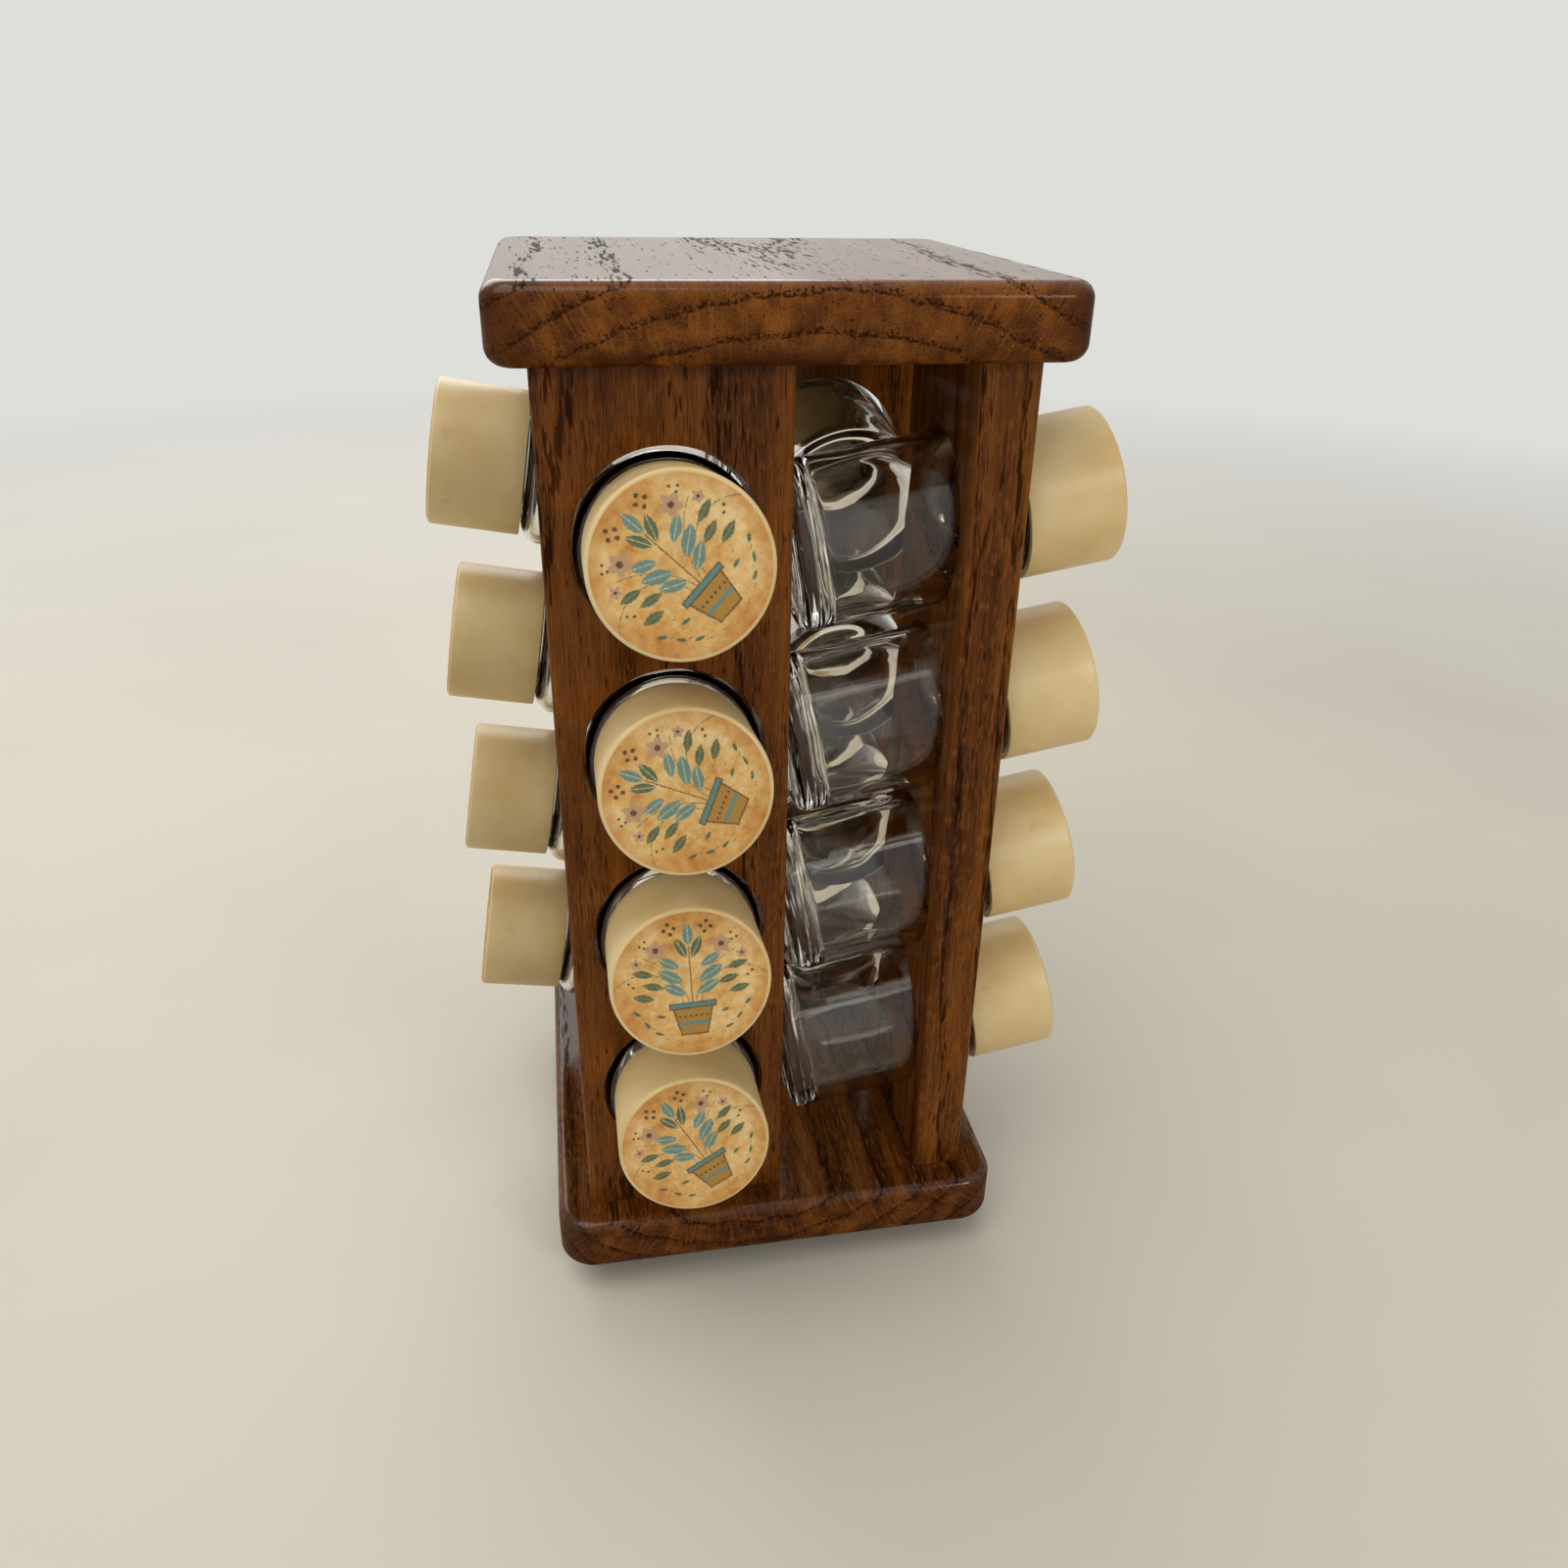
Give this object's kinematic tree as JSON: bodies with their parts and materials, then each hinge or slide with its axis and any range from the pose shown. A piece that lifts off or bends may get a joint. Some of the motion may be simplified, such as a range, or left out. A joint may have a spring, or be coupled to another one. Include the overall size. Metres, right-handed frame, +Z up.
{
  "type": "revolving spice rack",
  "caption": "Revolving oak countertop rack: slanted bores in its uprights hold round glass jars with tall screw caps.",
  "frame": {"origin": "on the turning axis, at the height of the surface that the rubber feet stand on", "axes": "+Z up along the turning axis; -Y towards the front upright's caps; +X towards the right upright's caps"},
  "size_m": [0.2006, 0.2006, 0.3177],
  "materials": {
    "oak": "stained and varnished oak",
    "dowel_wood": "bare hardwood",
    "glass": "clear pressed glass",
    "ivory_plastic": "aged ivory plastic, satin",
    "printed_paper": "printed paper",
    "steel": "zinc-plated steel",
    "ball_steel": "polished steel",
    "rubber": "black rubber"
  },
  "bodies": {
    "stand": {"swivel_lower_plate": "steel", "swivel_balls": "ball_steel", "rubber_feet": "rubber"},
    "rack": {"top_plate": "oak", "base_plate": "oak", "dowels": "dowel_wood", "front_board": "oak", "right_board": "oak", "back_board": "oak", "left_board": "oak", "swivel_upper_plate": "steel", "swivel_screws": "steel"},
    "jar_front_1": {"jar_front_1": "glass"},
    "cap_front_1": {"cap_front_1": "ivory_plastic", "label_front_1": "printed_paper"},
    "jar_front_2": {"jar_front_2": "glass"},
    "cap_front_2": {"cap_front_2": "ivory_plastic", "label_front_2": "printed_paper"},
    "jar_front_3": {"jar_front_3": "glass"},
    "cap_front_3": {"cap_front_3": "ivory_plastic", "label_front_3": "printed_paper"},
    "jar_front_4": {"jar_front_4": "glass"},
    "cap_front_4": {"cap_front_4": "ivory_plastic", "label_front_4": "printed_paper"},
    "jar_right_1": {"jar_right_1": "glass"},
    "cap_right_1": {"cap_right_1": "ivory_plastic", "label_right_1": "printed_paper"},
    "jar_right_2": {"jar_right_2": "glass"},
    "cap_right_2": {"cap_right_2": "ivory_plastic", "label_right_2": "printed_paper"},
    "jar_right_3": {"jar_right_3": "glass"},
    "cap_right_3": {"cap_right_3": "ivory_plastic", "label_right_3": "printed_paper"},
    "jar_right_4": {"jar_right_4": "glass"},
    "cap_right_4": {"cap_right_4": "ivory_plastic", "label_right_4": "printed_paper"},
    "jar_back_1": {"jar_back_1": "glass"},
    "cap_back_1": {"cap_back_1": "ivory_plastic", "label_back_1": "printed_paper"},
    "jar_back_2": {"jar_back_2": "glass"},
    "cap_back_2": {"cap_back_2": "ivory_plastic", "label_back_2": "printed_paper"},
    "jar_back_3": {"jar_back_3": "glass"},
    "cap_back_3": {"cap_back_3": "ivory_plastic", "label_back_3": "printed_paper"},
    "jar_back_4": {"jar_back_4": "glass"},
    "cap_back_4": {"cap_back_4": "ivory_plastic", "label_back_4": "printed_paper"},
    "jar_left_1": {"jar_left_1": "glass"},
    "cap_left_1": {"cap_left_1": "ivory_plastic", "label_left_1": "printed_paper"},
    "jar_left_2": {"jar_left_2": "glass"},
    "cap_left_2": {"cap_left_2": "ivory_plastic", "label_left_2": "printed_paper"},
    "jar_left_3": {"jar_left_3": "glass"},
    "cap_left_3": {"cap_left_3": "ivory_plastic", "label_left_3": "printed_paper"},
    "jar_left_4": {"jar_left_4": "glass"},
    "cap_left_4": {"cap_left_4": "ivory_plastic", "label_left_4": "printed_paper"}
  },
  "joints": [
    {"name": "rack_turn", "type": "hinge", "parent": "stand", "child": "rack", "pos_m": [0, 0, 0.0107], "axis": [0, 0, 1], "continuous": true},
    {"name": "jar_front_1_pull", "type": "slide", "parent": "rack", "child": "jar_front_1", "axis": [0, -0.9848, 0.1736], "range_m": [0, 0.075]},
    {"name": "cap_front_1_lift", "type": "slide", "parent": "jar_front_1", "child": "cap_front_1", "axis": [0, -0.9848, 0.1736], "range_m": [0, 0.06]},
    {"name": "jar_front_2_pull", "type": "slide", "parent": "rack", "child": "jar_front_2", "axis": [0, -0.9848, 0.1736], "range_m": [0, 0.075]},
    {"name": "cap_front_2_lift", "type": "slide", "parent": "jar_front_2", "child": "cap_front_2", "axis": [0, -0.9848, 0.1736], "range_m": [0, 0.06]},
    {"name": "jar_front_3_pull", "type": "slide", "parent": "rack", "child": "jar_front_3", "axis": [0, -0.9848, 0.1736], "range_m": [0, 0.075]},
    {"name": "cap_front_3_lift", "type": "slide", "parent": "jar_front_3", "child": "cap_front_3", "axis": [0, -0.9848, 0.1736], "range_m": [0, 0.06]},
    {"name": "jar_front_4_pull", "type": "slide", "parent": "rack", "child": "jar_front_4", "axis": [0, -0.9848, 0.1736], "range_m": [0, 0.075]},
    {"name": "cap_front_4_lift", "type": "slide", "parent": "jar_front_4", "child": "cap_front_4", "axis": [0, -0.9848, 0.1736], "range_m": [0, 0.06]},
    {"name": "jar_right_1_pull", "type": "slide", "parent": "rack", "child": "jar_right_1", "axis": [0.9848, 0, 0.1736], "range_m": [0, 0.075]},
    {"name": "cap_right_1_lift", "type": "slide", "parent": "jar_right_1", "child": "cap_right_1", "axis": [0.9848, 0, 0.1736], "range_m": [0, 0.06]},
    {"name": "jar_right_2_pull", "type": "slide", "parent": "rack", "child": "jar_right_2", "axis": [0.9848, 0, 0.1736], "range_m": [0, 0.075]},
    {"name": "cap_right_2_lift", "type": "slide", "parent": "jar_right_2", "child": "cap_right_2", "axis": [0.9848, 0, 0.1736], "range_m": [0, 0.06]},
    {"name": "jar_right_3_pull", "type": "slide", "parent": "rack", "child": "jar_right_3", "axis": [0.9848, 0, 0.1736], "range_m": [0, 0.075]},
    {"name": "cap_right_3_lift", "type": "slide", "parent": "jar_right_3", "child": "cap_right_3", "axis": [0.9848, 0, 0.1736], "range_m": [0, 0.06]},
    {"name": "jar_right_4_pull", "type": "slide", "parent": "rack", "child": "jar_right_4", "axis": [0.9848, 0, 0.1736], "range_m": [0, 0.075]},
    {"name": "cap_right_4_lift", "type": "slide", "parent": "jar_right_4", "child": "cap_right_4", "axis": [0.9848, 0, 0.1736], "range_m": [0, 0.06]},
    {"name": "jar_back_1_pull", "type": "slide", "parent": "rack", "child": "jar_back_1", "axis": [0, 0.9848, 0.1736], "range_m": [0, 0.075]},
    {"name": "cap_back_1_lift", "type": "slide", "parent": "jar_back_1", "child": "cap_back_1", "axis": [0, 0.9848, 0.1736], "range_m": [0, 0.06]},
    {"name": "jar_back_2_pull", "type": "slide", "parent": "rack", "child": "jar_back_2", "axis": [0, 0.9848, 0.1736], "range_m": [0, 0.075]},
    {"name": "cap_back_2_lift", "type": "slide", "parent": "jar_back_2", "child": "cap_back_2", "axis": [0, 0.9848, 0.1736], "range_m": [0, 0.06]},
    {"name": "jar_back_3_pull", "type": "slide", "parent": "rack", "child": "jar_back_3", "axis": [0, 0.9848, 0.1736], "range_m": [0, 0.075]},
    {"name": "cap_back_3_lift", "type": "slide", "parent": "jar_back_3", "child": "cap_back_3", "axis": [0, 0.9848, 0.1736], "range_m": [0, 0.06]},
    {"name": "jar_back_4_pull", "type": "slide", "parent": "rack", "child": "jar_back_4", "axis": [0, 0.9848, 0.1736], "range_m": [0, 0.075]},
    {"name": "cap_back_4_lift", "type": "slide", "parent": "jar_back_4", "child": "cap_back_4", "axis": [0, 0.9848, 0.1736], "range_m": [0, 0.06]},
    {"name": "jar_left_1_pull", "type": "slide", "parent": "rack", "child": "jar_left_1", "axis": [-0.9848, 0, 0.1736], "range_m": [0, 0.075]},
    {"name": "cap_left_1_lift", "type": "slide", "parent": "jar_left_1", "child": "cap_left_1", "axis": [-0.9848, 0, 0.1736], "range_m": [0, 0.06]},
    {"name": "jar_left_2_pull", "type": "slide", "parent": "rack", "child": "jar_left_2", "axis": [-0.9848, 0, 0.1736], "range_m": [0, 0.075]},
    {"name": "cap_left_2_lift", "type": "slide", "parent": "jar_left_2", "child": "cap_left_2", "axis": [-0.9848, 0, 0.1736], "range_m": [0, 0.06]},
    {"name": "jar_left_3_pull", "type": "slide", "parent": "rack", "child": "jar_left_3", "axis": [-0.9848, 0, 0.1736], "range_m": [0, 0.075]},
    {"name": "cap_left_3_lift", "type": "slide", "parent": "jar_left_3", "child": "cap_left_3", "axis": [-0.9848, 0, 0.1736], "range_m": [0, 0.06]},
    {"name": "jar_left_4_pull", "type": "slide", "parent": "rack", "child": "jar_left_4", "axis": [-0.9848, 0, 0.1736], "range_m": [0, 0.075]},
    {"name": "cap_left_4_lift", "type": "slide", "parent": "jar_left_4", "child": "cap_left_4", "axis": [-0.9848, 0, 0.1736], "range_m": [0, 0.06]}
  ]
}
